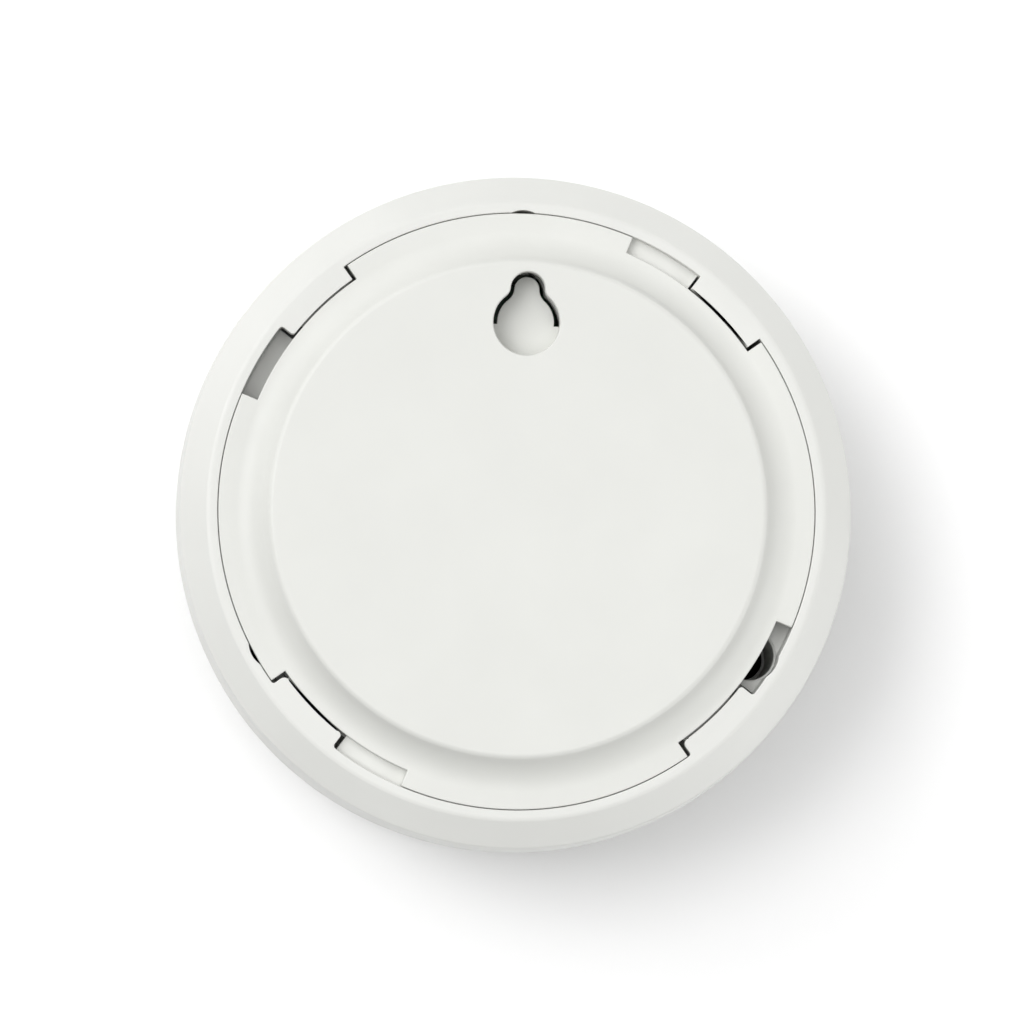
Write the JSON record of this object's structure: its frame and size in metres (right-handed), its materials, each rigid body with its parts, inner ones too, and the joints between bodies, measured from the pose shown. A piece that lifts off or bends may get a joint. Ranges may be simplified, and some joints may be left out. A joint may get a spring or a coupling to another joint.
{
  "type": "smoke detector",
  "caption": "Round ceiling smoke alarm with a twist-on keyhole mounting plate, optical chamber, sounder, battery and test button.",
  "frame": {"origin": "centre of the mounting plate's flat face, which lies against the ceiling", "axes": "+Z out of the back towards the ceiling, so the alarm hangs along -Z; +Y from the centre towards the keyhole"},
  "size_m": [0.09, 0.09, 0.035],
  "materials": {
    "white_plate": "fine satin moulded ABS, warm white",
    "white_housing": "fine satin moulded ABS, white",
    "white_button": "satin moulded ABS, white",
    "clear_lens": "clear polycarbonate light pipe",
    "black_steel": "black oxide",
    "screw_steel": "zinc plated",
    "board": "green solder mask on glass epoxy",
    "black_plastic": "matt black, light absorbing",
    "screen_steel": "fine stainless steel mesh",
    "tinted_lens": "blue tinted epoxy",
    "dark_lens": "dark infrared filter epoxy",
    "battery_sleeve": "shrink sleeve over a steel can",
    "contact_metal": "nickel plated spring steel",
    "brass": "brass disc with a silvered ceramic layer",
    "plunger_plastic": "moulded actuator",
    "led_lens": "clear epoxy over a white body",
    "chip_black": "moulded epoxy with tinned leads",
    "can_aluminium": "aluminium can on a black base",
    "ferrite": "ferrite core with copper winding",
    "ceramic": "ceramic chips with tinned ends"
  },
  "bodies": {
    "ceiling_plate": {"mounting_plate": "white_plate"},
    "alarm": {"rear_housing": "white_housing", "front_cover": "white_housing", "light_pipe": "clear_lens", "housing_screws": "black_steel", "board_screws": "screw_steel", "circuit_board": "board", "chamber_base": "black_plastic", "chamber_lid": "black_plastic", "sounder_horn": "black_plastic", "sounder_cap": "black_plastic", "switch_body": "black_plastic", "insect_screen": "screen_steel", "infrared_led": "tinted_lens", "photodiode": "dark_lens", "battery": "battery_sleeve", "positive_contact": "contact_metal", "negative_contact": "contact_metal", "piezo_disc": "brass", "sounder_contacts": "contact_metal", "status_led": "led_lens", "microcontroller": "chip_black", "driver_transistor": "chip_black", "electrolytic_capacitor": "can_aluminium", "boost_inductor": "ferrite", "chip_components": "ceramic"},
    "button": {"test_button": "white_button"},
    "plunger": {"switch_plunger": "plunger_plastic"}
  },
  "joints": [
    {"name": "twist", "type": "hinge", "parent": "ceiling_plate", "child": "alarm", "pos_m": [0, 0, 0], "axis": [0, 0, 1], "range_deg": [0, 14.5]},
    {"name": "button_press", "type": "slide", "parent": "alarm", "child": "button", "axis": [0, 0, 1], "range_m": [0, 0.0006], "stiffness_N_per_m": 600, "springref_m": -0.001},
    {"name": "plunger_press", "type": "slide", "parent": "alarm", "child": "plunger", "axis": [0, 0, 1], "range_m": [0, 0.0006]}
  ],
  "couplings": [
    {"joint": "plunger_press", "follows": "button_press", "ratio": 1}
  ]
}
